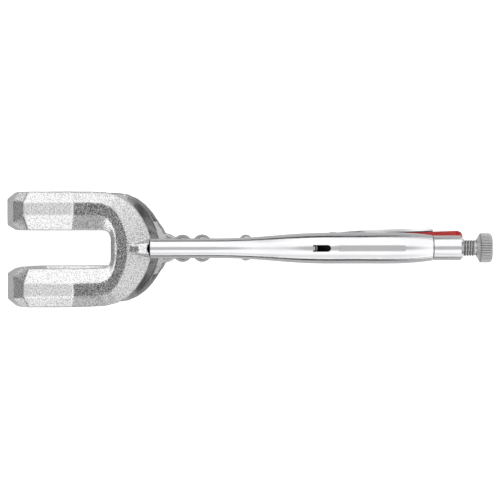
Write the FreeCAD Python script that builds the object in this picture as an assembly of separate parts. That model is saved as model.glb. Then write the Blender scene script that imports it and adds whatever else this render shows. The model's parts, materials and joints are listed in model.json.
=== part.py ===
import FreeCAD, Part
import math
import os

# Locking welding pliers with U-shaped forged jaws, 280 mm long, shown clamped.
# Frame: +X runs from the jaws to the adjusting screw, +Z from the lower handle to the upper one,
# and every pivot turns about Y. The origin is the middle of the tool's overall box: half way along
# it, on its centre plane, and on the clamping line between the two jaws. Millimetres.

Vec = FreeCAD.Vector

# Overall size
TOOL_LENGTH = 280.0
JAW_HEIGHT = 80.0
FORK_WIDTH = 65.5
X_TIP = -TOOL_LENGTH / 2
X_REAR = TOOL_LENGTH / 2
CREST = JAW_HEIGHT / 2

# Pivots as (x, z)
JAW_PIVOT = (-27.9, 0.0)
JAW_RIVET = (-39.2, 3.6)
HANDLE_PIVOT = (-2.4, -16.0)
LINK_PIVOT = (34.6, -0.9)
LEVER_PIVOT = (49.0, -11.0)
LINK_END = (70.0, 11.5)
SPRING_HORN = (-3.0, -5.5)

# Clearances, and a size larger than any part for cutting tools
RUNNING = 0.05
SLIP = 0.03
EYE_GAP = 0.4
DEEP = 60.0

# Tines. Sides are distances from the centre plane: inner side, both edges of the top facet, outer side
PAD_Z = 1.75
TINE_SIDES = (10.8, 19.2, 26.8, FORK_WIDTH / 2)
PAD_SIDES = (10.8, 13.8, 28.8, FORK_WIDTH / 2)
BROW_SIDES = (10.8, 15.4, 27.8, FORK_WIDTH / 2)
FORK_THICK = 11.8
FINGER_THICK = 12.6
BEVEL = 4.0
PAD_BEVEL = 4.8

# Upper jaw's bow, on a plane that falls towards the handle
UPPER_CREST_END = -99.8
UPPER_SLOPE = 34.6
UPPER_BOW_X = -89.3
UPPER_BOW_THICK = 14.0
UPPER_ROOT_THICK = 12.6
UPPER_ROOT_BEVEL = 7.0
# (turn from the handle's direction, sides at that turn, as distances from the bow's centre)
UPPER_BOW = [
    (90.0, (10.8, 19.2, 26.8, 32.75)),
    (78.75, (11.0, 19.5, 26.8, 33.2)),
    (67.5, (11.7, 19.3, 26.3, 33.7)),
    (56.25, (12.6, 17.7, 24.4, 33.5)),
    (45.0, (12.4, 15.8, 22.3, 32.8)),
    (33.75, (11.4, 14.3, 20.8, 32.2)),
    (22.5, (10.3, 13.2, 19.8, 32.0)),
    (11.25, (9.7, 12.6, 19.2, 32.0)),
    (0.0, (9.5, 12.4, 19.0, 31.3)),
]
RIB = [(-77.5, 23.4, 0.5, 2.2), (-64.0, 14.8, 2.8, 5.0), (-57.9, 13.4, 3.2, 5.6)]
RIB_DEPTH = 9.0
NOTCH_X = -55.0
NOTCH_R = 4.2
NOTCH_Z = 4.0

# Lower jaw's bow, which turns on edge as it climbs to the hinge lug
LOWER_CREST_END = -90.0
LOWER_BOW_X = -79.5
LOWER_LEAN = 82.0
LOWER_ROOT_THICK = 9.6
LOWER_CLIMB = 15.5
LOWER_BOW_STEPS = 16

# Lugs, eyes and rivets
LUG_HALF = 3.75
HORN_HALF = 1.5
HORN_HOLE_R = 1.2
JAW_EYE = 7.3
HANDLE_EYE = 6.8
JAW_PIN_R = 3.0
RIVET_R = 2.5
LEVER_PIN_R = 1.75
LINK_HALF = 3.5
LINK_BOSS_HALF = 5.0

# Folded sheet handles, as (x, half width, spine centre z)
UPPER_SHEET = 1.8
LOWER_SHEET = 1.7
SCREW_Z = 11.5
CHANNEL_FRONT = -57.7
CHANNEL_REAR = 105.3
LOWER_REAR = 110.0
UPPER_HALF = 9.0
LOWER_FRONT_HALF = 5.68
LOWER_HALF = 9.2
UPPER_STATIONS = [
    (CHANNEL_FRONT, 5.7, 7.2),
    (-20.0, 5.7, 7.2),
    (-5.0, 6.1, 8.0),
    (10.0, 7.1, 9.4),
    (28.7, 8.5, 11.0),
    (46.0, UPPER_HALF, SCREW_Z),
    (66.0, UPPER_HALF, SCREW_Z),
    (84.0, UPPER_HALF, SCREW_Z),
    (96.0, 8.4, SCREW_Z),
    (CHANNEL_REAR, 7.3, SCREW_Z),
]
LOWER_STATIONS = [
    (-12.0, LOWER_FRONT_HALF, -17.9),
    (2.0, LOWER_FRONT_HALF, -17.9),
    (12.0, 6.0, -20.0),
    (33.0, 7.1, -23.0),
    (55.0, 8.5, -25.4),
    (75.0, LOWER_HALF, -26.6),
    (95.0, LOWER_HALF, -26.5),
    (LOWER_REAR, LOWER_HALF, -26.4),
]
# Behind the link the lower handle and the lever are set over to +Y by this much per millimetre
SET_START = 33.0
SET_RATE = 0.0285

# Slot, spring tongue and pressed groove in the upper handle's spine
SLOT_X = 36.2
SLOT_LENGTH = 10.2
SLOT_WIDTH = 3.8
GROOVE_X = 51.0
GROOVE_LENGTH = 38.0
GROOVE_WIDTH = 3.4
GROOVE_DEPTH = 0.35
TONGUE_THICK = 1.6
TONGUE_WIDTH = 2.2
TONGUE_LOW = 12.2
TONGUE_HIGH = 19.4

# Release lever
LEVER_SHEET = 1.6
LEVER_FRONT_HALF = 5.8
LEVER_HALF = 7.0
LEVER_TAIL = 127.5
LEVER_CORNER = 3.4

# Adjusting screw, M10 x 1.5, its collar and its knob
THREAD_R = 5.0
THREAD_PITCH = 1.5
THREAD_DEPTH = 0.92
SCREW_TIP_X = 77.4
THREAD_END_X = 129.6
NECK_R = 4.4
STEM_R = 3.0
COLLAR_R = 7.1
COLLAR_REAR = 123.0
SPIGOT_R = 5.42
SPIGOT_LENGTH = 12.0
KNOB_R = 8.5
KNOB_FRONT = 130.6
KNURLS = 48
KNURL_DEPTH = 0.45

# Opening spring
WIRE_R = 0.5
COIL_R = 2.75
COIL_PITCH = 1.35
RING_R = 2.6
HOOK = (36.1, 15.6)


def at(pivot, y=0.0):
    """The 3D point of an (x, z) pair at a height y along the pivots."""
    return Vec(pivot[0], y, pivot[1])


def disc(pivot, radius, y_low, y_high):
    """A cylinder along Y centred on a pivot."""
    return Part.makeCylinder(radius, y_high - y_low, at(pivot, y_low), Vec(0, 1, 0))


def plate(points, y_low, y_high):
    """A side outline of (x, z) points made into a slab between two y values."""
    corners = [at(point, y_low) for point in points]
    face = Part.Face(Part.makePolygon(corners + corners[:1]))
    return face.extrude(Vec(0, y_high - y_low, 0))


def spline_plate(edges, y_low, y_high):
    """A side outline of several curves, each a list of (x, z) points, closed into a slab."""
    curves = []
    for points in edges:
        corners = [at(point, y_low) for point in points]
        if len(corners) == 2:
            curves.append(Part.makeLine(corners[0], corners[1]))
        else:
            curve = Part.BSplineCurve()
            curve.interpolate(corners)
            curves.append(curve.toShape())
    face = Part.Face(Part.Wire(Part.__sortEdges__(curves)))
    return face.extrude(Vec(0, y_high - y_low, 0))


def bar_between(start, end, r_start, r_end, half):
    """Two round eyes joined by their outer tangents, as a slab of the given half thickness."""
    dx = end[0] - start[0]
    dz = end[1] - start[1]
    length = math.hypot(dx, dz)
    base = math.atan2(dz, dx)
    lean = math.acos((r_start - r_end) / length)
    corners = []
    for centre, radius, side in (
        (start, r_start, lean),
        (start, r_start, -lean),
        (end, r_end, -lean),
        (end, r_end, lean),
    ):
        angle = base + side
        corners.append((centre[0] + radius * math.cos(angle), centre[1] + radius * math.sin(angle)))
    body = plate(corners, -half, half)
    body = body.fuse(disc(start, r_start, -half, half))
    return body.fuse(disc(end, r_end, -half, half)).removeSplitter()


def fused(first, *others):
    """One solid from several touching ones."""
    shape = first
    for other in others:
        shape = shape.fuse(other)
    shape = shape.removeSplitter()
    return shape.Solids[0] if len(shape.Solids) == 1 else shape


# Forked jaws


def octagon(sides, thick, top_bevels, low_bevel, place):
    """The closed eight-sided section of a forged bar.

    sides run from the inner side to the outer side, top_bevels are the drops at the two sides,
    and place(side, depth) is the point at a side and a depth below the top facet.
    """
    inner, facet_in, facet_out, outer = sides
    corners = [
        place(facet_out, 0.0),
        place(outer, top_bevels[1]),
        place(outer, thick - low_bevel),
        place(facet_out, thick),
        place(facet_in, thick),
        place(inner, thick - low_bevel),
        place(inner, top_bevels[0]),
        place(facet_in, 0.0),
    ]
    return Part.makePolygon(corners + corners[:1])


def tine_section(station, hand, flip):
    """One section of a straight tine; hand is its sign in y, and flip is -1 for the lower jaw.

    station is (outer x, outer z, inner x, inner z, sides, bevel) for a jaw above the clamping line.
    """
    outer_x, outer_z, inner_x, inner_z, sides, bevel = station
    thick = math.hypot(inner_x - outer_x, inner_z - outer_z)
    step_x = (inner_x - outer_x) / thick
    step_z = (inner_z - outer_z) / thick

    def place(side, depth):
        return Vec(outer_x + step_x * depth, hand * side, flip * (outer_z + step_z * depth))

    return octagon(sides, thick, (bevel, bevel), bevel, place)


def upper_bow_section(turn, hand, sides):
    """One section of the upper bow, on the ray that leaves the bow's centre at a turn in degrees."""
    ray_x = math.cos(math.radians(turn))
    ray_y = hand * math.sin(math.radians(turn))
    fall = math.tan(math.radians(UPPER_SLOPE))
    root = ray_x * ray_x
    thick = UPPER_BOW_THICK * (1 - root) + UPPER_ROOT_THICK * root
    outer_bevel = BEVEL * (1 - root) + UPPER_ROOT_BEVEL * root

    def place(side, depth):
        x = UPPER_BOW_X + side * ray_x
        return Vec(x, side * ray_y, CREST - (x - UPPER_CREST_END) * fall - depth)

    return octagon(sides, thick, (BEVEL, outer_bevel), BEVEL - root, place)


def lower_bow_section(turn, hand):
    """One section of the lower bow, leaning further on edge the nearer it is to the root."""
    root = math.cos(math.radians(turn)) ** 2
    ray = Vec(math.cos(math.radians(turn)), hand * math.sin(math.radians(turn)), 0)
    lean = math.radians(LOWER_LEAN) * root
    across = ray * math.cos(lean) + Vec(0, 0, math.sin(lean))
    down = ray * math.sin(lean) - Vec(0, 0, math.cos(lean))
    thick = FORK_THICK * (1 - root) + LOWER_ROOT_THICK * root
    inner, facet_in, facet_out, outer = TINE_SIDES
    middle = (inner + outer) / 2
    facet_half = (facet_out - facet_in) / 2 * (1 + root / 4)
    half = (outer - inner) / 2
    offset = (facet_in + facet_out) / 2 * (1 - root) + middle * root - middle
    sides = (-half, offset - facet_half, offset + facet_half, half)
    reach = half * math.cos(lean) + thick / 2 * math.sin(lean)
    centre = Vec(LOWER_BOW_X, 0, 0) + ray * (FORK_WIDTH / 2 - reach)
    centre.z = -CREST + FORK_THICK / 2 + LOWER_CLIMB * root

    def place(side, depth):
        return centre + across * side + down * (thick / 2 - depth)

    bevel = BEVEL - root
    return octagon(sides, thick, (bevel, bevel), bevel, place)


def fork(stations, bow, flip):
    """The U-shaped fork of one jaw, lofted through its sections from pad to pad."""
    sections = [tine_section(station, 1, flip) for station in stations]
    sections += bow
    sections += [tine_section(station, -1, flip) for station in reversed(stations)]
    return Part.makeLoft(sections, True, True)


def finger(crest_end):
    """Stations of a tine from its pad over the brow to the end of its level crest."""
    back = X_TIP + FINGER_THICK
    return [
        (X_TIP, PAD_Z, back, PAD_Z, PAD_SIDES, PAD_BEVEL),
        (X_TIP, 13.0, back, 12.0, PAD_SIDES, PAD_BEVEL),
        (X_TIP + 5.7, CREST - 7.0, back + 3.7, 23.0, BROW_SIDES, BEVEL + 0.4),
        (X_TIP + 12.4, CREST, back + 7.5, CREST - 11.0, TINE_SIDES, BEVEL),
        crest_end,
    ]


def rib():
    """The rib on the upper jaw's root, from a point on the bow to the mouth of the handle."""
    sections = []
    for x, top, top_half, foot_half in RIB:
        corners = [Vec(x, -foot_half, top - RIB_DEPTH), Vec(x, -top_half, top)]
        corners += [Vec(x, top_half, top), Vec(x, foot_half, top - RIB_DEPTH)]
        sections.append(Part.makePolygon(corners + corners[:1]))
    return Part.makeLoft(sections, True, True)


def upper_jaw():
    """Forged upper jaw: fork, top rib and the tang that is riveted into the upper handle."""
    bow = [upper_bow_section(turn, 1, sides) for turn, sides in UPPER_BOW]
    bow += [upper_bow_section(turn, -1, sides) for turn, sides in reversed(UPPER_BOW[:-1])]
    last = (UPPER_CREST_END, CREST, UPPER_CREST_END - 3.4, CREST - FORK_THICK, TINE_SIDES, BEVEL)
    shape = fork(finger(last), bow, 1)
    side = [(-74.0, 12.0), (-66.0, 7.2), (-30.0, 7.2), (-30.0, -5.0), (-52.0, -1.5), (-66.0, 3.0)]
    tang = plate(side + [(-74.0, 9.0)], -LUG_HALF, LUG_HALF)
    spine = Part.makeCylinder(LUG_HALF, 34.0, Vec(-64.0, 0, 7.2), Vec(1, 0, 0))
    shape = fused(shape, rib(), tang, spine)
    shape = shape.cut(Part.makeCylinder(NOTCH_R, DEEP, Vec(NOTCH_X, 0, NOTCH_Z)))
    shape = shape.cut(disc(JAW_PIVOT, JAW_EYE + EYE_GAP, -DEEP, DEEP))
    shape = shape.cut(Part.makeBox(12.0, DEEP, DEEP, Vec(-32.5, -DEEP / 2, -DEEP / 2)))
    return shape.cut(disc(JAW_RIVET, RIVET_R + SLIP, -DEEP, DEEP))


def lower_jaw():
    """Forged lower jaw: fork, web, hinge lug with both eyes and the spring horn."""
    turns = [90.0 - 180.0 * step / LOWER_BOW_STEPS for step in range(LOWER_BOW_STEPS + 1)]
    bow = [lower_bow_section(abs(turn), math.copysign(1, turn)) for turn in turns]
    last = (LOWER_CREST_END, CREST, LOWER_CREST_END, CREST - FORK_THICK, TINE_SIDES, BEVEL)
    shape = fork(finger(last), bow, -1)
    side = [(-54.0, -26.0), (-49.0, -24.0), (-27.0, -6.8), (-27.9, 1.0), (-31.0, -5.0), (-36.5, -7.6)]
    web = plate(side + [(-54.0, -11.0)], -LUG_HALF, LUG_HALF)
    lug = bar_between(JAW_PIVOT, HANDLE_PIVOT, JAW_EYE, HANDLE_EYE, LUG_HALF)
    horn = bar_between(SPRING_HORN, (-6.5, -12.5), 2.6, 4.0, HORN_HALF)
    shape = fused(shape, web, lug, horn, gusset())
    shape = shape.cut(disc(JAW_PIVOT, JAW_PIN_R + RUNNING, -DEEP, DEEP))
    shape = shape.cut(disc(HANDLE_PIVOT, RIVET_R + RUNNING, -DEEP, DEEP))
    return shape.cut(disc(SPRING_HORN, HORN_HOLE_R, -DEEP, DEEP))


def gusset():
    """The fillet that spreads the lower jaw's lug into the half-round bow."""
    low = -24.0
    high = -9.0
    corners = [Vec(-52.0, 9.0, low), Vec(-47.6, 8.2, low), Vec(-39.5, LUG_HALF, low)]
    corners += [Vec(corner.x, -corner.y, low) for corner in reversed(corners)]
    wedge = Part.Face(Part.makePolygon(corners + corners[:1])).extrude(Vec(0, 0, high - low))
    side = [(-54.0, -24.0), (-49.0, -24.0), (-37.0, -14.5), (-37.0, -8.0), (-54.0, -10.5)]
    return wedge.common(plate(side, -DEEP, DEEP))


# Handles


def side_set(x):
    """How far the lower handle and the release lever stand over to +Y at x."""
    return max(0.0, x - SET_START) * SET_RATE


def channel_section(x, y, half, centre_z, bottom, direction):
    """One open-channel outline round (x, y): a half circle on the spine and two straight walls.

    direction is +1 for a spine on top and -1 for a spine underneath.
    """
    left = Vec(x, y - half, centre_z)
    right = Vec(x, y + half, centre_z)
    crown = Vec(x, y, centre_z + direction * half)
    left_foot = Vec(x, y - half, bottom)
    right_foot = Vec(x, y + half, bottom)
    arc = Part.Arc(left, crown, right).toShape()
    lines = [(left_foot, left), (right, right_foot), (right_foot, left_foot)]
    edges = [Part.makeLine(start, end) for start, end in lines]
    return Part.Wire([edges[0], arc, edges[1], edges[2]])


def channel(stations, sheet, bottom, direction, offset):
    """A folded sheet channel through (x, half width, spine centre z) stations; offset(x) is its y.

    It is straight between the first two stations, where its sides are riveted, and smooth after.
    """
    skins = []
    for inset in (0.0, sheet):
        outlines = []
        for x, half, z in stations:
            outlines.append(channel_section(x, offset(x), half - inset, z, bottom, direction))
        straight = Part.makeLoft(outlines[:2], True, True)
        skins.append(straight.fuse(Part.makeLoft(outlines[1:], True)))
    return skins[0].cut(skins[1]).removeSplitter()


def tail_plan(half_points, tail, corner):
    """A plan view slab through (x, half width) points, with its far corners rounded off."""
    half = half_points[-1][1]
    points = half_points + [(tail - corner, half)]
    points += [(tail - corner * 0.29, half - corner * 0.29), (tail, half - corner)]
    corners = [Vec(x, side_set(x) - y, -DEEP) for x, y in points]
    corners += [Vec(x, side_set(x) + y, -DEEP) for x, y in reversed(points)]
    return Part.Face(Part.makePolygon(corners + corners[:1])).extrude(Vec(0, 0, 2 * DEEP))


def upper_handle():
    """Upper handle: a folded channel with the spring slot, its tongue and a pressed groove."""
    shape = channel(UPPER_STATIONS, UPPER_SHEET, -DEEP / 2, 1, lambda x: 0.0)
    front = CHANNEL_FRONT - 1
    rear = CHANNEL_REAR + 1
    belly = [(front, -0.5), (-46.0, -1.0), (-36.0, -5.0), (JAW_PIVOT[0], -7.0), (-20.0, -5.0)]
    belly += [(-11.0, 3.0), (0.0, 6.4), (14.0, 6.9)]
    side = [
        [(front, DEEP), (front, -0.5)],
        belly,
        [(14.0, 6.9), (62.0, 6.9)],
        [(62.0, 6.9), (74.0, 5.4), (90.0, 5.0), (rear, 5.0)],
        [(rear, 5.0), (rear, DEEP)],
        [(rear, DEEP), (front, DEEP)],
    ]
    shape = shape.common(spline_plate(side, -DEEP, DEEP))
    slot_round = SLOT_WIDTH / 2
    straight = SLOT_LENGTH - slot_round
    slot = Part.makeBox(straight, SLOT_WIDTH, DEEP, Vec(SLOT_X, -slot_round, SCREW_Z))
    slot = slot.fuse(Part.makeCylinder(slot_round, DEEP, Vec(SLOT_X + straight, 0, SCREW_Z)))
    shape = shape.cut(slot)
    groove_low = Vec(GROOVE_X, -GROOVE_WIDTH / 2, SCREW_Z + UPPER_HALF - GROOVE_DEPTH)
    shape = shape.cut(Part.makeBox(GROOVE_LENGTH, GROOVE_WIDTH, DEEP, groove_low))
    tongue_low = Vec(SLOT_X - EYE_GAP, -TONGUE_WIDTH / 2, TONGUE_LOW)
    tongue = Part.makeBox(TONGUE_THICK, TONGUE_WIDTH, TONGUE_HIGH - TONGUE_LOW, tongue_low)
    shape = fused(shape, tongue)
    shape = shape.cut(disc(JAW_RIVET, RIVET_R + SLIP, -DEEP, DEEP))
    return shape.cut(disc(JAW_PIVOT, JAW_PIN_R + SLIP, -DEEP, DEEP))


def lower_handle():
    """Lower handle: a folded channel with an eye at the jaw and raised ears at the link."""
    shape = channel(LOWER_STATIONS, LOWER_SHEET, DEEP / 2, -1, side_set)
    brow = [(3.6, -11.6), (9.0, -8.2), (18.0, -5.0), (26.0, 1.0), (31.0, 4.6), (36.5, 5.3)]
    brow += [(42.0, 2.0), (50.0, -5.0), (60.0, -12.5), (74.0, -18.0), (96.0, -21.0)]
    brow += [(LOWER_REAR, -24.5)]
    outline = [
        brow,
        [(LOWER_REAR, -24.5), (LOWER_REAR, -DEEP)],
        [(LOWER_REAR, -DEEP), (3.6, -DEEP)],
        [(3.6, -DEEP), (3.6, -11.6)],
    ]
    side = spline_plate(outline, -DEEP, DEEP)
    front = plate([(-2.4, -9.4), (3.6, -11.6), (3.7, -DEEP), (-2.4, -22.8)], -DEEP, DEEP)
    side = side.fuse(front).fuse(disc(HANDLE_PIVOT, HANDLE_EYE + EYE_GAP, -DEEP, DEEP))
    shape = shape.common(side)
    shape = shape.common(tail_plan([(-DEEP, 12.0), (92.0, LOWER_HALF + 0.1)], LOWER_REAR, 3.4))
    inside = LOWER_FRONT_HALF - LOWER_SHEET
    mouth = Part.makeBox(40.0, 2 * inside, DEEP, Vec(HANDLE_PIVOT[0] - 40.0, -inside, -DEEP))
    shape = shape.cut(mouth)
    shape = shape.cut(disc(HANDLE_PIVOT, HANDLE_EYE + 2 * EYE_GAP, -inside, inside))
    shape = shape.cut(disc(HANDLE_PIVOT, RIVET_R + RUNNING, -DEEP, DEEP))
    shape = shape.cut(disc(LINK_PIVOT, RIVET_R + SLIP, -DEEP, DEEP))
    shape = shape.cut(disc(LEVER_PIVOT, LEVER_PIN_R + SLIP, -DEEP, DEEP))
    return shape.Solids[0] if len(shape.Solids) == 1 else shape


def toggle_link():
    """Toggle link: a forged strut from the lower handle to the tip of the adjusting screw."""
    strut = bar_between(LINK_PIVOT, LINK_END, 5.8, 5.0, LINK_HALF)
    boss = disc(LINK_PIVOT, 4.6, -LINK_BOSS_HALF, LINK_BOSS_HALF)
    shape = fused(strut, boss)
    return shape.cut(disc(LINK_PIVOT, RIVET_R + RUNNING, -DEEP, DEEP))


def release_lever():
    """Release lever: an inverted channel with two ears on its rivet and a thumb tab behind."""
    top = [(57.0, -2.6), (60.5, -6.0), (66.0, -14.5), (75.0, -19.5), (90.0, -22.0)]
    top += [(106.0, -23.6), (118.0, -24.0), (124.0, -25.4), (LEVER_TAIL, -29.5)]
    below = [(LEVER_TAIL, -29.5), (125.6, -30.6), (115.0, -30.0), (110.6, -27.5), (76.0, -27.5)]
    below += [(62.0, -22.0), (52.0, -15.4), (45.6, -14.0), (44.8, -8.4), (53.0, -5.8), (57.0, -2.6)]
    block = spline_plate([top] + [list(pair) for pair in zip(below, below[1:])], -DEEP, DEEP)
    hollow = block.translated(Vec(-0.6, 0, -LEVER_SHEET))
    plans = []
    for inset in (0.0, LEVER_SHEET):
        front = LEVER_FRONT_HALF - inset
        widths = [(40.0, front), (60.0, front), (74.0, LEVER_HALF - inset)]
        plans.append(tail_plan(widths, LEVER_TAIL - inset, LEVER_CORNER))
    outer, inner = plans
    shape = block.common(outer).cut(hollow.common(inner))
    under = [(40.0, -40.0), (40.0, -7.6), (56.0, -7.6), (122.0, -28.4), (122.0, -40.0)]
    shape = shape.cut(plate(under, -DEEP, DEEP).common(inner))
    return shape.cut(disc(LEVER_PIVOT, LEVER_PIN_R + RUNNING, -DEEP, DEEP))


# Rivets, screw and spring


def domed_rivet(pivot, shank_r, head_r, seat, tip, shift=0.0):
    """A rivet along Y with a domed head at each end, seated at +-seat and ending at +-tip.

    shift moves the whole rivet along Y.
    """
    rise = tip - seat
    ball = (head_r * head_r + rise * rise) / (2 * rise)
    shape = disc(pivot, shank_r, -seat - 0.1, seat + 0.1)
    for side in (1, -1):
        cap = Part.makeSphere(ball, at(pivot, side * (tip - ball)))
        low = seat if side > 0 else -tip - 1
        high = tip + 1 if side > 0 else -seat
        cap = cap.common(disc(pivot, head_r + 1, low, high))
        shape = shape.fuse(cap)
    return shape.removeSplitter().Solids[0].translated(Vec(0, shift, 0))


def revolved(points):
    """A solid of revolution about the screw's axis from (x, radius) points."""
    corners = [Vec(x, 0, SCREW_Z + radius) for x, radius in points]
    face = Part.Face(Part.makePolygon(corners + corners[:1]))
    return face.revolve(Vec(0, 0, SCREW_Z), Vec(1, 0, 0), 360)


def adjusting_screw():
    """Threaded rod with a rounded tip, a plain neck and a stem that carries the knob."""
    root = THREAD_R - THREAD_DEPTH
    points = [(SCREW_TIP_X, 0.0), (SCREW_TIP_X, 2.6), (SCREW_TIP_X + 1.6, root)]
    turns = int((THREAD_END_X - SCREW_TIP_X - 1.8) / THREAD_PITCH)
    start = THREAD_END_X - turns * THREAD_PITCH
    for turn in range(turns):
        x = start + turn * THREAD_PITCH
        points += [(x, root), (x + 0.62, THREAD_R), (x + 0.8, THREAD_R), (x + 1.42, root)]
    points += [(THREAD_END_X, root), (THREAD_END_X + 0.1, NECK_R), (KNOB_FRONT - 0.1, NECK_R)]
    points += [(KNOB_FRONT - 0.1, STEM_R), (X_REAR - 1.0, STEM_R), (X_REAR - 1.0, 0.0)]
    return revolved(points)


def screw_collar():
    """Threaded collar that closes the rear end of the upper handle."""
    bore = THREAD_R + RUNNING
    front = CHANNEL_REAR - SPIGOT_LENGTH
    seam = CHANNEL_REAR + 0.4
    points = [(front, bore), (front, SPIGOT_R), (seam, SPIGOT_R), (seam, COLLAR_R - 0.4)]
    points += [(seam + 0.4, COLLAR_R), (COLLAR_REAR - 1.4, COLLAR_R)]
    points += [(COLLAR_REAR, COLLAR_R - 1.6), (COLLAR_REAR, bore)]
    return revolved(points)


def knurled_knob():
    """Knurled head: straight knurls on a round head with a conical front and a domed rear."""
    corners = []
    for tooth in range(KNURLS):
        for part, radius in ((0.0, KNOB_R), (0.3, KNOB_R), (0.65, KNOB_R - KNURL_DEPTH)):
            turn = 2 * math.pi * (tooth + part) / KNURLS
            corners.append(Vec(KNOB_FRONT, radius * math.sin(turn), SCREW_Z + radius * math.cos(turn)))
    ribbed = Part.Face(Part.makePolygon(corners + corners[:1]))
    ribbed = ribbed.extrude(Vec(X_REAR - KNOB_FRONT, 0, 0))
    over = KNOB_R + 0.1
    points = [(KNOB_FRONT, 0.0), (KNOB_FRONT, 4.9), (KNOB_FRONT + 1.7, KNOB_R - 0.4)]
    points += [(KNOB_FRONT + 2.4, over), (X_REAR - 1.6, over), (X_REAR - 0.6, KNOB_R - 1.1)]
    points += [(X_REAR, KNOB_R - 3.2), (X_REAR, 0.0)]
    depth = X_REAR - 0.9 - KNOB_FRONT
    bore = Part.makeCylinder(STEM_R + RUNNING, depth, Vec(KNOB_FRONT, 0, SCREW_Z), Vec(1, 0, 0))
    return ribbed.common(revolved(points)).cut(bore)


def opening_spring():
    """Tension spring from the lower jaw's horn to the tongue under the upper handle's slot."""
    start = at(SPRING_HORN)
    end = at(HOOK)
    axis = end - start
    axis.normalize()
    front_ring = start + axis * RING_R
    coil_start = start + axis * (2 * RING_R)
    coil_end = end - axis * (RING_R + 0.2)
    length = (coil_end - coil_start).Length
    helix = Part.makeHelix(COIL_PITCH, length, COIL_R)
    wire_face = Part.makeCircle(WIRE_R, Vec(COIL_R, 0, 0), Vec(0, 1, 0))
    coil = Part.Wire(helix).makePipeShell([Part.Wire(wire_face)], True, True)
    turn = FreeCAD.Rotation(Vec(0, 0, 1), axis)
    shape = coil.transformed(FreeCAD.Placement(coil_start, turn).toMatrix())
    across = axis.cross(Vec(0, 1, 0))
    ends = []
    for ring, place in ((front_ring, coil_start), (end, coil_end)):
        ends.append(Part.makeTorus(RING_R, WIRE_R, ring, across))
        ends.append(Part.makeTorus(COIL_R, WIRE_R, place, axis))
        low = place - Vec(0, COIL_R, 0)
        ends.append(Part.makeCylinder(WIRE_R, 2 * COIL_R, low, Vec(0, 1, 0)))
    return fused(shape, *ends)


NODES = {
    "upper_handle": upper_handle,
    "screw_collar": screw_collar,
    "upper_jaw": upper_jaw,
    "lower_jaw": lower_jaw,
    "lower_handle": lower_handle,
    "toggle_link": toggle_link,
    "release_lever": release_lever,
    "adjusting_screw": adjusting_screw,
    "knurled_knob": knurled_knob,
    "opening_spring": opening_spring,
}

# Name: (pivot, shank radius, head radius, seat, tip, shift)
RIVETS = {
    "upper_jaw_rivet": (JAW_RIVET, RIVET_R, 4.7, 5.73, 8.0),
    "jaw_pivot_rivet": (JAW_PIVOT, JAW_PIN_R, 4.7, 5.73, 8.1),
    "handle_pivot_rivet": (HANDLE_PIVOT, RIVET_R, 3.6, 5.72, 7.8),
    "link_rivet": (LINK_PIVOT, RIVET_R, 3.6, 7.6, 8.6),
    "lever_rivet": (LEVER_PIVOT, LEVER_PIN_R, 2.6, 8.35, 8.95, side_set(LEVER_PIVOT[0])),
}


def main():
    os.makedirs("parts", exist_ok=True)
    for name, make in NODES.items():
        make().exportStep(f"parts/{name}.step")
    for name, sizes in RIVETS.items():
        domed_rivet(*sizes).exportStep(f"parts/{name}.step")


main()
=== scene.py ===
import json
import math

import bpy
import numpy as np
from mathutils import Matrix, Vector, noise


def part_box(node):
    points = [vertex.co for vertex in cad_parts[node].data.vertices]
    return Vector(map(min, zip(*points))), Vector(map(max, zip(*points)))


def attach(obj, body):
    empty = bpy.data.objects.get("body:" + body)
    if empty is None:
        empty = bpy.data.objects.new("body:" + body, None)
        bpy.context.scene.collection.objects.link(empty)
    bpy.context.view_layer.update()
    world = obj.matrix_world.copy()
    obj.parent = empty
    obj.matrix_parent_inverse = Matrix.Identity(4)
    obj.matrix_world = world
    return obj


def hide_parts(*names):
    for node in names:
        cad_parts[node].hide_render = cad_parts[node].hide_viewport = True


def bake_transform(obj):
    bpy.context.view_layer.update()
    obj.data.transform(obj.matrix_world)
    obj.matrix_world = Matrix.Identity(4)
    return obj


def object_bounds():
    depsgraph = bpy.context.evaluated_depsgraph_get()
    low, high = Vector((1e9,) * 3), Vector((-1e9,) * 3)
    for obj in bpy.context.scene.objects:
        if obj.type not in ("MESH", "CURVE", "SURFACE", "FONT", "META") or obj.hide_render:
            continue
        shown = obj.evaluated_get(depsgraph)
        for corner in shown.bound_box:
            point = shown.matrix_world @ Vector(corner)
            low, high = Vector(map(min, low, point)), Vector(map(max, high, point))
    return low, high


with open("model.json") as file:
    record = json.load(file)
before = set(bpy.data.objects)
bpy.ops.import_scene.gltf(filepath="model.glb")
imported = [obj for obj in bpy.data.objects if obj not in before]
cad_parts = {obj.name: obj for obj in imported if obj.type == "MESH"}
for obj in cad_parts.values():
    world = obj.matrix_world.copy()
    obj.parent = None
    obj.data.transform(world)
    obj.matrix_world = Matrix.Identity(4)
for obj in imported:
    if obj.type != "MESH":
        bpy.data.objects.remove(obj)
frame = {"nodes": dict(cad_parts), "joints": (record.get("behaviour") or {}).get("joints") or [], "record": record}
cad_low, cad_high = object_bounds()

MM = 0.001
SCENE = bpy.context.scene
RECORD = frame["record"]
JOINTS = {joint["name"]: joint for joint in frame["joints"]}


# Small helpers


def new_piece(name, verts, faces, smooth=True):
    """A mesh object made from points in metres and index faces."""
    mesh = bpy.data.meshes.new(name)
    mesh.from_pydata([tuple(v) for v in verts], [], faces)
    mesh.update()
    if smooth:
        mesh.shade_smooth()
    piece = bpy.data.objects.new(name, mesh)
    SCENE.collection.objects.link(piece)
    return piece


def baked(piece):
    """The piece's mesh with its modifiers applied."""
    graph = bpy.context.evaluated_depsgraph_get()
    mesh = bpy.data.meshes.new_from_object(piece.evaluated_get(graph))
    piece.modifiers.clear()
    piece.data = mesh
    return piece


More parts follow.
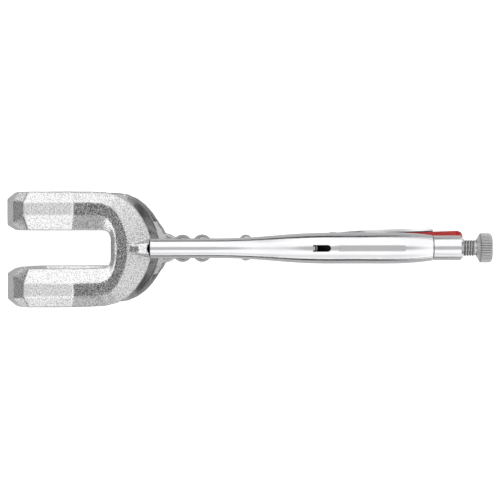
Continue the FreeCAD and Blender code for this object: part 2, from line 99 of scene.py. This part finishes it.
def coordinates(mesh):
    """The mesh's points as an array."""
    flat = np.zeros(len(mesh.vertices) * 3)
    mesh.vertices.foreach_get("co", flat)
    return flat.reshape(-1, 3)


def normals(mesh):
    """The mesh's point normals as an array."""
    flat = np.zeros(len(mesh.vertices) * 3)
    mesh.vertices.foreach_get("normal", flat)
    return flat.reshape(-1, 3)


def set_coordinates(mesh, points):
    mesh.vertices.foreach_set("co", np.asarray(points, float).ravel())
    mesh.update()


def wear(node, piece, body):
    """The piece stands for a CAD node and rides on its body."""
    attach(piece, body)
    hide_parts(node)
    return piece


# Materials


class Surface:
    """One procedural material, built node by node round a Principled shader."""

    def __init__(self, name, colour, metallic, roughness):
        self.material = bpy.data.materials.new(name)
        self.material.use_nodes = True
        self.tree = self.material.node_tree
        self.shader = self.tree.nodes["Principled BSDF"]
        self.shader.inputs["Base Color"].default_value = (*colour, 1.0)
        self.shader.inputs["Metallic"].default_value = metallic
        self.shader.inputs["Roughness"].default_value = roughness
        self.place = self.add("ShaderNodeTexCoord").outputs["Object"]
        self.normal = None

    def add(self, kind, **settings):
        node = self.tree.nodes.new(kind)
        for key, value in settings.items():
            setattr(node, key, value)
        return node

    def link(self, source, target):
        self.tree.links.new(source, target)

    def mapped(self, scale):
        """The object's coordinates in metres, stretched by a scale for each axis."""
        node = self.add("ShaderNodeMapping")
        node.inputs["Scale"].default_value = scale
        self.link(self.place, node.inputs["Vector"])
        return node.outputs["Vector"]

    def noise(self, size, stretch=(1, 1, 1), detail=3.0, rough=0.5, distortion=0.0):
        """Noise with features of about size metres."""
        node = self.add("ShaderNodeTexNoise")
        node.inputs["Scale"].default_value = 1.0 / size
        node.inputs["Detail"].default_value = detail
        node.inputs["Roughness"].default_value = rough
        node.inputs["Distortion"].default_value = distortion
        self.link(self.mapped(stretch), node.inputs["Vector"])
        return node.outputs["Fac"]

    def remap(self, value, low, high, to_low, to_high):
        node = self.add("ShaderNodeMapRange")
        for key, number in (
            ("From Min", low), ("From Max", high), ("To Min", to_low), ("To Max", to_high),
        ):
            node.inputs[key].default_value = number
        self.link(value, node.inputs["Value"])
        return node.outputs["Result"]

    def maths(self, kind, first, second):
        node = self.add("ShaderNodeMath", operation=kind)
        for index, value in enumerate((first, second)):
            if isinstance(value, (int, float)):
                node.inputs[index].default_value = value
            else:
                self.link(value, node.inputs[index])
        return node.outputs["Value"]

    def mix(self, factor, first, second):
        """A colour between two, each a triple or a socket."""
        node = self.add("ShaderNodeMix", data_type="RGBA")
        self.link(factor, node.inputs["Factor"])
        for key, value in (("A", first), ("B", second)):
            socket = [s for s in node.inputs if s.name == key and s.type == "RGBA"][0]
            if isinstance(value, tuple):
                socket.default_value = (*value, 1.0)
            else:
                self.link(value, socket)
        return [s for s in node.outputs if s.type == "RGBA"][0]

    def bump(self, height, distance, strength=1.0):
        node = self.add("ShaderNodeBump")
        node.inputs["Strength"].default_value = strength
        node.inputs["Distance"].default_value = distance
        self.link(height, node.inputs["Height"])
        if self.normal is not None:
            self.link(self.normal, node.inputs["Normal"])
        self.normal = node.outputs["Normal"]

    def painted_recess_shade(self, reach, low=0.0, high=0.6):
        """Mask for painted shade: 0 deep in a narrow gap for its reach in metres, 1 on an open face."""
        node = self.add("ShaderNodeAmbientOcclusion", samples=6)
        node.inputs["Distance"].default_value = reach
        return self.remap(node.outputs["AO"], low, high, 0.0, 1.0)

    def soft_edges(self, radius):
        node = self.add("ShaderNodeBevel", samples=6)
        node.inputs["Radius"].default_value = radius
        self.normal = node.outputs["Normal"]

    def colour(self, socket):
        self.link(socket, self.shader.inputs["Base Color"])

    def roughness(self, socket):
        self.link(socket, self.shader.inputs["Roughness"])

    def done(self):
        if self.normal is not None:
            self.link(self.normal, self.shader.inputs["Normal"])
        return self.material


def sheet_zinc():
    """Bright zinc over polished sheet: faint lengthwise polishing, slow waviness and light wear, with painted
    shade that turns it near black in deep narrow gaps such as the slot.
    """
    s = Surface("sheet_zinc", (0.9, 0.9, 0.91), 1.0, 0.12)
    s.soft_edges(0.35 * MM)
    streaks = s.noise(0.5 * MM, (0.06, 1, 1), 4.0, 0.6)
    clouds = s.noise(14 * MM, (0.5, 1, 1), 2.0)
    s.bump(s.noise(9 * MM, (0.4, 1, 1), 1.0), 0.05 * MM, 0.5)
    s.bump(streaks, 0.002 * MM, 0.5)
    s.roughness(s.maths("ADD", s.remap(streaks, 0.3, 0.7, 0.0, 0.05), s.remap(clouds, 0.3, 0.7, 0.09, 0.16)))
    plate = s.mix(s.remap(clouds, 0.35, 0.65, 0.0, 1.0), (0.93, 0.93, 0.94), (0.86, 0.86, 0.88))
    # Painted shade: near black in deep narrow gaps, such as the slot and the inside of the channels.
    s.colour(s.mix(s.painted_recess_shade(14 * MM, 0.2, 0.6), (0.02, 0.02, 0.02), plate))
    return s.done()


def forged_zinc(name, smooth_shaded_root):
    """Bright zinc over a blasted drop forging: sharp grains, slow hollows and ground clamping pads.

    With a smooth root the grains fade away towards the handle, and the root is painted darker as shade under the
    upper jaw, its sharp rims left at the bright tone.
    """
    s = Surface(name, (0.8, 0.8, 0.8), 1.0, 0.3)
    grains = s.noise(0.85 * MM, (1, 1, 1), 2.0, 0.6)
    fine = s.noise(0.4 * MM, (1, 1, 1), 1.0)
    hollows = s.noise(4.5 * MM, (1, 1, 1), 2.0)
    pads = s.pad_mask()
    rough = s.maths("SUBTRACT", 1.0, pads)
    split = s.add("ShaderNodeSeparateXYZ")
    s.link(s.place, split.inputs["Vector"])
    root = s.remap(split.outputs["X"], -100 * MM, -84 * MM, 0.0, 1.0 if smooth_shaded_root else 0.0)
    keep = s.maths("MULTIPLY", rough, s.remap(root, 0.0, 1.0, 1.0, 0.15))
    s.bump(s.maths("MULTIPLY", hollows, keep), 0.12 * MM, 0.6)
    s.bump(s.maths("MULTIPLY", grains, keep), 0.2 * MM, 1.0)
    s.bump(s.maths("MULTIPLY", fine, keep), 0.06 * MM, 1.0)
    grinding = s.noise(0.3 * MM, (1, 0.04, 1), 3.0)
    s.bump(s.maths("MULTIPLY", grinding, pads), 0.02 * MM, 0.6)
    s.roughness(s.remap(grains, 0.3, 0.7, 0.13, 0.21))
    specks = s.remap(grains, 0.3, 0.56, 0.0, 1.0)
    body = s.mix(specks, (0.55, 0.55, 0.55), (0.98, 0.98, 0.98))
    edges = s.remap(s.add("ShaderNodeNewGeometry").outputs["Pointiness"], 0.52, 0.6, 0.0, 1.0)
    # Painted shade: the smooth root is coloured darker, as if under the upper jaw, and its sharp rims keep the
    # bright tone.
    root_shade_tone = s.mix(specks, (0.38, 0.38, 0.38), (0.48, 0.48, 0.48))
    body = s.mix(root, body, s.mix(edges, root_shade_tone, (0.96, 0.96, 0.96)))
    # Painted shade: darker in the forging's narrow gaps and corners.
    s.colour(s.mix(s.painted_recess_shade(9 * MM, 0.05, 0.5), (0.2, 0.2, 0.2), body))
    return s.done()


def pad_mask(self):
    """1 on the ground faces that meet on the clamping plane, 0 elsewhere."""
    split = self.add("ShaderNodeSeparateXYZ")
    self.link(self.place, split.inputs["Vector"])
    height = self.maths("ABSOLUTE", split.outputs["Z"], 0.0)
    return self.remap(height, 2.0 * MM, 2.5 * MM, 1.0, 0.0)


Surface.pad_mask = pad_mask


def turned_zinc():
    """Bright zinc over a turned collar, with fine rings round the axis."""
    s = Surface("turned_zinc", (0.9, 0.9, 0.91), 1.0, 0.12)
    s.soft_edges(0.25 * MM)
    rings = s.noise(0.22 * MM, (1, 0.03, 0.03), 3.0)
    s.bump(rings, 0.006 * MM, 0.5)
    s.roughness(s.remap(rings, 0.3, 0.7, 0.08, 0.18))
    s.colour(s.mix(s.noise(5 * MM), (0.93, 0.93, 0.94), (0.84, 0.84, 0.86)))
    return s.done()


def thread_zinc():
    """Rolled thread: bright crests, and painted shade in the roots."""
    s = Surface("thread_zinc", (0.8, 0.8, 0.81), 1.0, 0.22)
    s.bump(s.noise(0.4 * MM, (1, 1, 1), 3.0), 0.01 * MM, 0.6)
    s.roughness(s.remap(s.noise(1.2 * MM), 0.3, 0.7, 0.14, 0.3))
    plate = s.mix(s.noise(2.5 * MM), (0.9, 0.9, 0.91), (0.7, 0.7, 0.71))
    # Painted shade: darker down in the thread roots.
    s.colour(s.mix(s.painted_recess_shade(1.4 * MM, 0.35, 0.85), (0.06, 0.06, 0.06), plate))
    return s.done()


def knurl_zinc():
    """Pressed knurl under a slightly dull plate."""
    s = Surface("knurl_zinc", (0.72, 0.72, 0.72), 1.0, 0.3)
    s.bump(s.noise(0.35 * MM, (1, 1, 1), 3.0), 0.03 * MM, 0.7)
    s.roughness(s.remap(s.noise(1.0 * MM), 0.3, 0.7, 0.24, 0.42))
    plate = s.mix(s.noise(1.5 * MM), (0.8, 0.8, 0.8), (0.58, 0.58, 0.58))
    # Painted shade: darker down in the knurl grooves.
    s.colour(s.mix(s.painted_recess_shade(0.8 * MM, 0.5, 0.95), (0.1, 0.1, 0.1), plate))
    return s.done()


def rivet_zinc():
    """Rivet head: bright dome with the faint marks of the closing tool."""
    s = Surface("rivet_zinc", (0.82, 0.82, 0.83), 1.0, 0.16)
    s.soft_edges(0.3 * MM)
    s.bump(s.noise(1.6 * MM, (1, 1, 1), 2.0), 0.04 * MM, 0.6)
    s.roughness(s.remap(s.noise(0.8 * MM), 0.3, 0.7, 0.12, 0.26))
    plate = s.mix(s.noise(2.0 * MM), (0.84, 0.84, 0.85), (0.6, 0.6, 0.61))
    # Painted shade: darker where the head meets the sheet and in other tight corners.
    s.colour(s.mix(s.painted_recess_shade(3 * MM, 0.3, 0.75), (0.12, 0.12, 0.12), plate))
    return s.done()


def strut_steel():
    """Zinc-plated strut with a satin grain along its length."""
    s = Surface("strut_steel", (0.7, 0.7, 0.71), 1.0, 0.3)
    s.soft_edges(0.3 * MM)
    grain = s.noise(0.4 * MM, (0.15, 1, 0.15), 3.0)
    s.bump(grain, 0.015 * MM, 0.6)
    s.roughness(s.remap(grain, 0.3, 0.7, 0.24, 0.4))
    plate = s.mix(s.noise(3 * MM), (0.78, 0.78, 0.79), (0.6, 0.6, 0.61))
    # Painted shade: near black where the strut lies deep inside the handles, as seen through the slot.
    s.colour(s.mix(s.painted_recess_shade(20 * MM, 0.35, 0.8), (0.03, 0.03, 0.03), plate))
    return s.done()


def spring_wire():
    """Drawn spring wire, darker than the plated parts."""
    s = Surface("spring_wire", (0.42, 0.42, 0.43), 1.0, 0.3)
    s.bump(s.noise(0.2 * MM, (1, 1, 1), 2.0), 0.008 * MM, 0.5)
    s.roughness(s.remap(s.noise(0.9 * MM), 0.3, 0.7, 0.22, 0.38))
    s.colour(s.mix(s.noise(1.5 * MM), (0.5, 0.5, 0.51), (0.32, 0.32, 0.33)))
    return s.done()


def red_coat():
    """Semi-gloss red coating with a fine orange peel and rubbed, slightly darker patches."""
    s = Surface("red_coat", (0.6, 0.02, 0.02), 0.0, 0.3)
    s.soft_edges(0.5 * MM)
    s.bump(s.noise(0.9 * MM, (1, 1, 1), 2.0), 0.03 * MM, 0.5)
    s.bump(s.noise(0.2 * MM, (1, 1, 1), 2.0), 0.004 * MM, 0.5)
    rub = s.noise(6 * MM, (0.4, 1, 1), 3.0)
    s.roughness(s.remap(rub, 0.3, 0.7, 0.24, 0.42))
    s.colour(s.mix(s.remap(rub, 0.3, 0.7, 0.0, 1.0), (0.62, 0.022, 0.018), (0.45, 0.012, 0.012)))
    s.shader.inputs["Coat Weight"].default_value = 0.35
    s.shader.inputs["Coat Roughness"].default_value = 0.12
    return s.done()


def dress(piece, material):
    """The material on every face, with smooth shading that breaks at real edges."""
    piece.data.materials.clear()
    piece.data.materials.append(material)
    piece.data.shade_smooth()
    piece.data.set_sharp_from_angle(angle=math.radians(28))


# Pieces


def forging(node, body, material, voxel, rounds, swell):
    """A forged piece: the CAD solid with its edges worn round and its faces slightly uneven."""
    source = frame["nodes"][node]
    piece = bpy.data.objects.new(node + "_forging", source.data.copy())
    SCENE.collection.objects.link(piece)
    remesh = piece.modifiers.new("skin", "REMESH")
    remesh.mode = "VOXEL"
    remesh.voxel_size = voxel
    smooth = piece.modifiers.new("round", "SMOOTH")
    smooth.factor = 0.5
    smooth.iterations = rounds
    baked(piece)
    mesh = piece.data
    points = coordinates(mesh)
    outward = normals(mesh)
    if swell:
        lift = np.array([hammer(point) for point in points]) * swell
        pads = np.clip((np.abs(points[:, 2]) - 2.2 * MM) / (2 * MM), 0, 1)
        points += outward * (lift * pads)[:, None]
    set_coordinates(mesh, points)
    mesh.materials.clear()
    mesh.materials.append(material)
    mesh.shade_smooth()
    return wear(node, piece, body)


def hammer(point):
    """The slow unevenness of a forged face, from -1 to 1, at a point in metres."""
    place = Vector(point) / MM
    return 0.6 * noise.noise(place / 7.0) + 0.3 * noise.noise(place / 3.1) + 0.25 * noise.noise(place / 1.3)


def turned(name, axis_z, rows, columns, radius):
    """A closed skin round an axis along X: rows are x values and radius(x, turn) is in metres."""
    verts = []
    for x in rows:
        for column in range(columns):
            turn = 2 * math.pi * column / columns
            r = radius(x, turn)
            verts.append((x, r * math.sin(turn), axis_z + r * math.cos(turn)))
    faces = []
    for row in range(len(rows) - 1):
        for column in range(columns):
            a = row * columns + column
            b = row * columns + (column + 1) % columns
            faces.append((a, a + columns, b + columns, b))
    first = len(verts)
    verts.append((rows[0], 0, axis_z))
    verts.append((rows[-1], 0, axis_z))
    last = (len(rows) - 1) * columns
    for column in range(columns):
        after = (column + 1) % columns
        faces.append((first, column, after))
        faces.append((first + 1, last + after, last + column))
    return new_piece(name, verts, faces)


def ease(value):
    """A smooth step from 0 to 1."""
    value = min(1.0, max(0.0, value))
    return value * value * (3 - 2 * value)


def interpolated(profile):
    """The radius at x on a profile of (x, radius) points, as a function."""
    xs = [point[0] for point in profile]
    rs = [point[1] for point in profile]
    return lambda x: float(np.interp(x, xs, rs))


def knurled_knob(material):
    """The knob with straight rounded knurls that fade out at both ends."""
    low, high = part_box("knurled_knob")
    axis_z = (low.z + high.z) / 2
    outer = (high.z - low.z) / 2
    knurls = 52
    profile = [
        (low.x, 4.2 * MM), (low.x + 0.1 * MM, 4.9 * MM), (low.x + 0.5 * MM, 5.6 * MM),
        (low.x + 1.9 * MM, outer - 0.5 * MM), (low.x + 2.3 * MM, outer - 0.12 * MM),
        (low.x + 2.7 * MM, outer), (high.x - 1.8 * MM, outer), (high.x - 1.2 * MM, outer - 0.25 * MM),
        (high.x - 0.7 * MM, outer - 0.8 * MM), (high.x - 0.35 * MM, outer - 1.6 * MM),
        (high.x - 0.1 * MM, outer - 2.8 * MM), (high.x, outer - 4.4 * MM),
    ]
    envelope = interpolated(profile)
    rows = [low.x + (high.x - low.x) * step / 60 for step in range(61)]

    def radius(x, turn):
        base = envelope(x)
        fade = ease((base - (outer - 1.5 * MM)) / (1.2 * MM))
        groove = (0.5 - 0.5 * math.cos(knurls * turn)) ** 1.6
        return base - 0.42 * MM * fade * groove

    piece = turned("knurled_knob_head", axis_z, rows, knurls * 8, radius)
    dress(piece, material)
    piece.data.set_sharp_from_angle(angle=math.radians(60))
    return wear("knurled_knob", piece, "knob")


def threaded_rod(material):
    """The adjusting screw with a true helical thread that runs out at its neck and tip."""
    low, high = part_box("adjusting_screw")
    axis_z = (low.z + high.z) / 2
    crest = (high.z - low.z) / 2
    pitch = 1.5 * MM
    depth = 0.92 * MM
    neck = 4.4 * MM
    stem = 2.9 * MM
    thread_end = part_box("knurled_knob")[0].x - 1.0 * MM
    neck_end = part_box("knurled_knob")[0].x - 0.1 * MM
    rows = [low.x, low.x + 0.3 * MM, low.x + 0.8 * MM]
    step = 0.1 * MM
    x = low.x + 1.0 * MM
    while x < thread_end:
        rows.append(x)
        x += step
    rows += [thread_end + 0.1 * MM * k for k in range(1, 9)]
    rows += [neck_end, neck_end + 0.01 * MM, high.x - 0.2 * MM, high.x]

    def radius(x, turn):
        if x > neck_end + 0.005 * MM:
            return stem if x < high.x - 0.1 * MM else stem - 0.2 * MM
        cycle = ((x - low.x) / pitch - turn / (2 * math.pi)) % 1.0
        tooth = min(1.0, max(0.0, (0.5 - abs(cycle - 0.5)) * 2.5 - 0.1))
        start = ease((x - low.x) / (2.2 * MM))
        end = ease((thread_end + 0.5 * MM - x) / (1.3 * MM))
        root = crest - depth
        threaded = root + depth * tooth * start * end
        taper = 1.0 - 0.3 * (1 - ease((x - low.x) / (1.4 * MM)))
        collar = (neck - root) * (1 - end)
        return threaded * taper + collar

    piece = turned("adjusting_screw_thread", axis_z, rows, 72, radius)
    dress(piece, material)
    piece.data.set_sharp_from_angle(angle=math.radians(75))
    return wear("adjusting_screw", piece, "screw")


def opening_spring(material):
    """The spring wire: a copy of the CAD spring, dressed and fixed where it lies."""
    source = frame["nodes"]["opening_spring"]
    piece = bpy.data.objects.new("opening_spring_wire", source.data.copy())
    SCENE.collection.objects.link(piece)
    dress(piece, material)
    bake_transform(piece)
    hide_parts("opening_spring")
    return piece


def build():
    zinc = sheet_zinc()
    rivet = rivet_zinc()
    blasted = forged_zinc("blasted_zinc", smooth_shaded_root=False)
    smooth_shaded = forged_zinc("smooth_shaded_root_zinc", smooth_shaded_root=True)
    for node in ("upper_handle", "lower_handle"):
        dress(frame["nodes"][node], zinc)
    dress(frame["nodes"]["screw_collar"], turned_zinc())
    dress(frame["nodes"]["toggle_link"], strut_steel())
    for node in frame["nodes"]:
        if node.endswith("rivet"):
            dress(frame["nodes"][node], rivet)
    forging("upper_jaw", "fixed_handle", blasted, 0.55 * MM, 7, 0.12 * MM)
    forging("lower_jaw", "moving_jaw", smooth_shaded, 0.55 * MM, 7, 0.12 * MM)
    forging("release_lever", "release", red_coat(), 0.35 * MM, 4, 0)
    knurled_knob(knurl_zinc())
    threaded_rod(thread_zinc())
    opening_spring(spring_wire())


# Studio


def lookup(tree, source, low, high, stops):
    """A grey level looked up along a value, from (value, level) stops between low and high."""
    scaled = tree.nodes.new("ShaderNodeMapRange")
    scaled.inputs["From Min"].default_value = low
    scaled.inputs["From Max"].default_value = high
    tree.links.new(source, scaled.inputs["Value"])
    ramp = tree.nodes.new("ShaderNodeValToRGB")
    ramp.color_ramp.interpolation = "EASE"
    elements = ramp.color_ramp.elements
    while len(elements) < len(stops):
        elements.new(0.5)
    for element, (value, level) in zip(elements, stops):
        element.position = (value - low) / (high - low)
        element.color = (level, level, level, 1)
    tree.links.new(scaled.outputs["Result"], ramp.inputs["Fac"])
    return ramp.outputs["Color"]


def times(tree, first, second):
    """The product of two grey levels."""
    node = tree.nodes.new("ShaderNodeMath")
    node.operation = "MULTIPLY"
    for socket, value in zip(node.inputs, (first, second)):
        if isinstance(value, (int, float)):
            socket.default_value = value
        else:
            tree.links.new(value, socket)
    return node.outputs["Value"]


def brighter(tree, first, second):
    """The higher of two grey levels."""
    node = tree.nodes.new("ShaderNodeMath")
    node.operation = "MAXIMUM"
    tree.links.new(first, node.inputs[0])
    tree.links.new(second, node.inputs[1])
    return node.outputs["Value"]


def lobe(tree, direction, towards, inner, outer, level):
    """A patch of the surroundings: level within inner degrees of towards, 1 beyond outer degrees."""
    dot = tree.nodes.new("ShaderNodeVectorMath")
    dot.operation = "DOT_PRODUCT"
    dot.inputs[1].default_value = Vector(towards).normalized()
    tree.links.new(direction, dot.inputs[0])
    patch = tree.nodes.new("ShaderNodeMapRange")
    patch.interpolation_type = "SMOOTHSTEP"
    patch.inputs["From Min"].default_value = math.cos(math.radians(outer))
    patch.inputs["From Max"].default_value = math.cos(math.radians(inner))
    patch.inputs["To Min"].default_value = 1.0
    patch.inputs["To Max"].default_value = level
    tree.links.new(dot.outputs["Value"], patch.inputs["Value"])
    return patch.outputs["Result"]


def studio():
    """Soft white light all round, with a few darker patches that the bright metal picks up."""
    world = bpy.data.worlds.new("studio")
    SCENE.world = world
    world.use_nodes = True
    tree = world.node_tree
    tree.nodes.clear()
    out = tree.nodes.new("ShaderNodeOutputWorld")
    background = tree.nodes.new("ShaderNodeBackground")
    tree.links.new(background.outputs[0], out.inputs[0])
    direction = tree.nodes.new("ShaderNodeTexCoord").outputs["Generated"]
    split = tree.nodes.new("ShaderNodeSeparateXYZ")
    tree.links.new(direction, split.inputs[0])
    patches = [
        ((0, 0, 1), 9, 24, 0.46),
        ((0.91, 0, 0.41), 14, 26, 0.05),
        ((0.74, -0.64, 0.18), 12, 28, 0.24),
        ((0, -0.89, 0.45), 6, 22, 0.74),
        ((-1, 0, 0), 8, 13, 0.06),
        ((-0.95, 0, 0.3), 40, 54, 0.36),
        ((-0.6, -0.75, 0.2), 14, 28, 0.35),
        ((-0.6, 0.75, 0.2), 14, 28, 0.35),
    ]
    level = 1.0
    for towards, inner, outer, dark in patches:
        level = times(tree, level, lobe(tree, direction, towards, inner, outer, dark))
    band = lookup(tree, split.outputs["Z"], -1.0, 1.0, [(-0.3, 0.0), (-0.15, 0.88), (0.03, 0.88), (0.08, 0.0)])
    sides = lookup(tree, split.outputs["X"], -1.0, 1.0, [(-0.55, 0.0), (-0.35, 1.0), (0.35, 1.0), (0.55, 0.0)])
    horizon = tree.nodes.new("ShaderNodeMath")
    horizon.operation = "SUBTRACT"
    horizon.inputs[0].default_value = 1.0
    tree.links.new(times(tree, band, sides), horizon.inputs[1])
    level = times(tree, level, horizon.outputs["Value"])
    seen = tree.nodes.new("ShaderNodeLightPath").outputs["Is Camera Ray"]
    tree.links.new(brighter(tree, level, seen), background.inputs["Color"])
    background.inputs["Strength"].default_value = 1.12


def floor():
    """A plain pale floor; what the bright metal mirrors of it fades out on both long sides."""
    size = 3.0
    z = cad_low.z - 1 * MM
    corners = [(-size, -size, z), (size, -size, z), (size, size, z), (-size, size, z)]
    sheet = new_piece("floor", corners, [(0, 1, 2, 3)], smooth=False)
    material = bpy.data.materials.new("pale_floor")
    material.use_nodes = True
    tree = material.node_tree
    paper = tree.nodes["Principled BSDF"]
    paper.inputs["Base Color"].default_value = (0.86, 0.86, 0.86, 1)
    paper.inputs["Roughness"].default_value = 0.9
    paper.inputs["Emission Color"].default_value = (1, 1, 1, 1)
    paper.inputs["Emission Strength"].default_value = 0.72
    coords = tree.nodes.new("ShaderNodeTexCoord")
    split = tree.nodes.new("ShaderNodeSeparateXYZ")
    tree.links.new(coords.outputs["Object"], split.inputs[0])
    mirrored = tree.nodes.new("ShaderNodeEmission")
    x, y = split.outputs["X"], split.outputs["Y"]
    near = lookup(tree, y, -1.0, 1.0, [(-0.26, 0.03), (-0.18, 0.45), (0.18, 0.45), (0.26, 0.03)])
    near = times(tree, near, lookup(tree, x, -1.0, 1.0, [(-0.6, 0.15), (-0.4, 1.0)]))
    behind = lookup(tree, x, -1.0, 1.0, [(0.12, 0.0), (0.22, 1.0)])
    strip = lookup(tree, y, -1.0, 1.0, [(-0.06, 0.0), (-0.035, 0.6), (0.035, 0.6), (0.06, 0.0)])
    strip = times(tree, strip, lookup(tree, x, -1.0, 1.0, [(-0.04, 0.0), (0.0, 1.0)]))
    wide = lookup(tree, y, -1.0, 1.0, [(-0.13, 1.0), (-0.07, 0.0), (0.07, 0.0), (0.13, 1.0)])
    ahead = lookup(tree, x, -1.0, 1.0, [(-0.45, 0.0), (-0.35, 1.0), (-0.24, 1.0), (-0.19, 0.0)])
    floor_level = brighter(tree, near, brighter(tree, behind, brighter(tree, strip, times(tree, wide, ahead))))
    level = times(tree, floor_level, 1.05)
    tree.links.new(level, mirrored.inputs["Color"])
    path = tree.nodes.new("ShaderNodeLightPath")
    mix = tree.nodes.new("ShaderNodeMixShader")
    tree.links.new(path.outputs["Is Camera Ray"], mix.inputs[0])
    tree.links.new(mirrored.outputs[0], mix.inputs[1])
    tree.links.new(paper.outputs[0], mix.inputs[2])
    tree.links.new(mix.outputs[0], tree.nodes["Material Output"].inputs["Surface"])
    sheet.data.materials.append(material)


def camera():
    """The photographer's place: straight above the upper handle, leaning slightly to +Y."""
    lean = math.radians(1.0)
    turn = math.radians(-0.13)
    distance = 1.1
    data = bpy.data.cameras.new("camera")
    data.sensor_width = 36
    data.lens = 36 * distance / 0.288
    data.clip_start = 0.05
    data.clip_end = 20
    eye = bpy.data.objects.new("camera", data)
    SCENE.collection.objects.link(eye)
    back = Vector((0, math.sin(lean), math.cos(lean)))
    side = Vector((math.cos(turn), math.sin(turn), 0))
    side = (side - back * side.dot(back)).normalized()
    above = back.cross(side)
    eye.matrix_world = Matrix((side, above, back)).transposed().to_4x4()
    eye.location = Vector((0.0, -0.9 * MM, 15 * MM)) + back * distance
    SCENE.camera = eye


build()
studio()
floor()
camera()
SCENE.view_settings.view_transform = "Standard"
SCENE.view_settings.look = "None"
